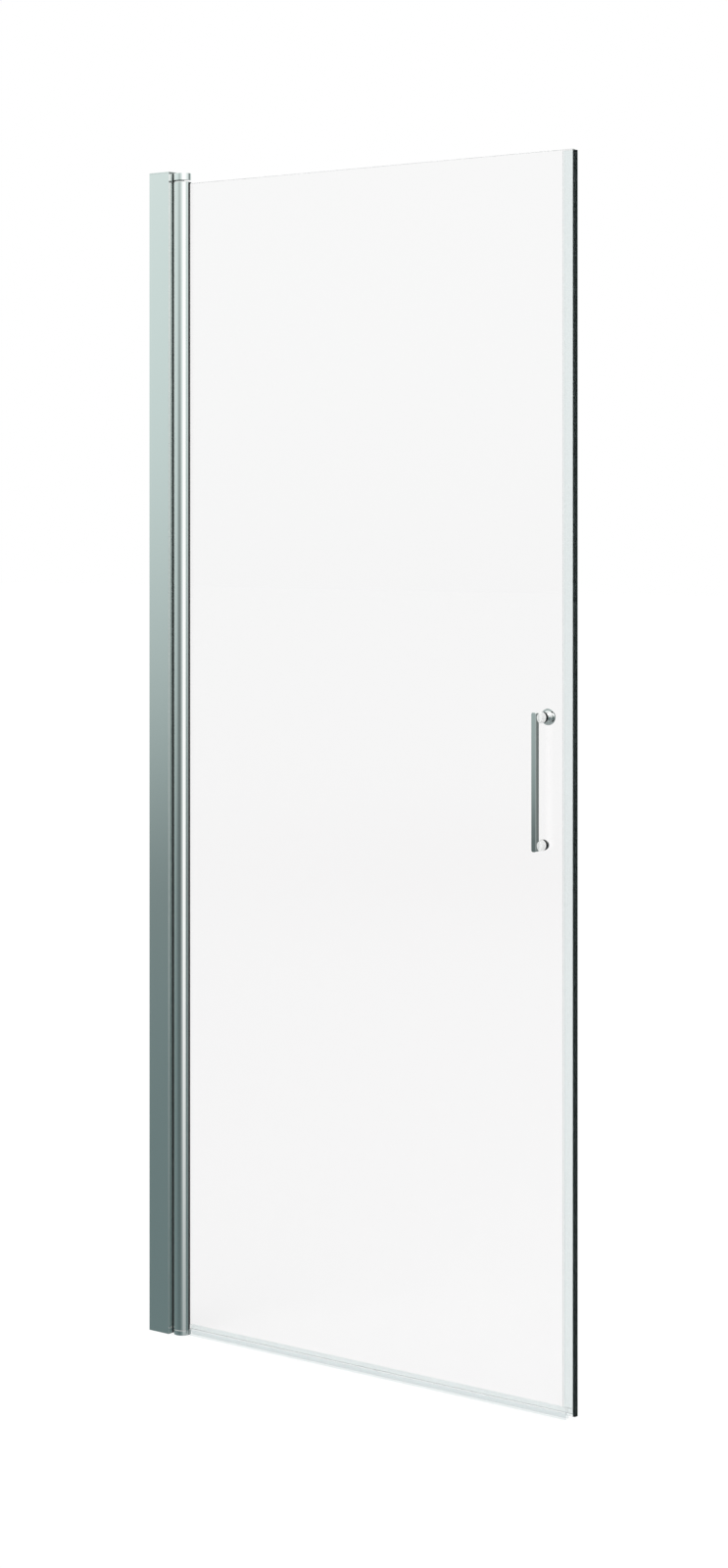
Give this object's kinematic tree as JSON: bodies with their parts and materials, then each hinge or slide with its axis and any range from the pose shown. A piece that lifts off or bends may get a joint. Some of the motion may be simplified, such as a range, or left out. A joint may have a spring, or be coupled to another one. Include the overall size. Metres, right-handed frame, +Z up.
{
  "type": "pivoting glass shower screen",
  "caption": "Frameless pivoting shower screen: wall channel, adjustable hinge post, round door stile, clear glass pane with magnet and drip seals, and a slim pull bar.",
  "frame": {"origin": "on the wall, at the bottom centre of the wall channel's back face", "axes": "+X along the screen away from the wall, -Y to the outside where the user stands, +Z up"},
  "size_m": [0.88, 0.0508, 2],
  "materials": {
    "polished_aluminium": "bright polished anodised extrusion",
    "satin_aluminium": "plain mill-finish extrusion",
    "chrome": "mirror chrome plating",
    "steel": "stainless steel, turned",
    "clear_glass": "clear toughened glass, polished",
    "clear_seal": "clear flexible PVC extrusion",
    "dark_seal": "soft black sealing rubber",
    "dark_magnet": "rubber-bonded magnet strip",
    "dark_plastic": "moulded acetal",
    "polished_plastic": "metallised moulding",
    "white_plastic": "translucent nylon"
  },
  "bodies": {
    "wall_side": {"wall_channel": "satin_aluminium", "adjusting_screws": "steel", "adjusting_screw_caps": "polished_plastic"},
    "post": {"hinge_post": "polished_aluminium", "post_top_cap": "polished_plastic", "top_hinge_block": "chrome", "bottom_hinge_block": "chrome", "hinge_block_screws": "steel", "top_pivot_pin": "steel", "bottom_pivot_pin": "steel", "hinge_gap_seal": "dark_seal"},
    "door": {"door_stile": "polished_aluminium", "top_bush": "white_plastic", "bottom_bush": "white_plastic", "glazing_gasket": "dark_seal", "glass_support_block": "dark_plastic", "glass_panel": "clear_glass", "edge_seal": "clear_seal", "magnet_strip": "dark_magnet", "drip_seal": "clear_seal", "handle_bar": "chrome", "handle_posts": "white_plastic", "handle_outer_washers": "dark_seal", "handle_hole_sleeves": "white_plastic", "handle_studs": "steel", "handle_inner_washers": "dark_seal", "inner_knob": "chrome", "inner_cap": "chrome"}
  },
  "joints": [
    {"name": "width_adjust", "type": "slide", "parent": "wall_side", "child": "post", "axis": [1, 0, 0], "range_m": [0, 0.015]},
    {"name": "door_swing", "type": "hinge", "parent": "post", "child": "door", "pos_m": [0.061, 0, 0], "axis": [0, 0, -1], "range_deg": [0, 90]}
  ]
}
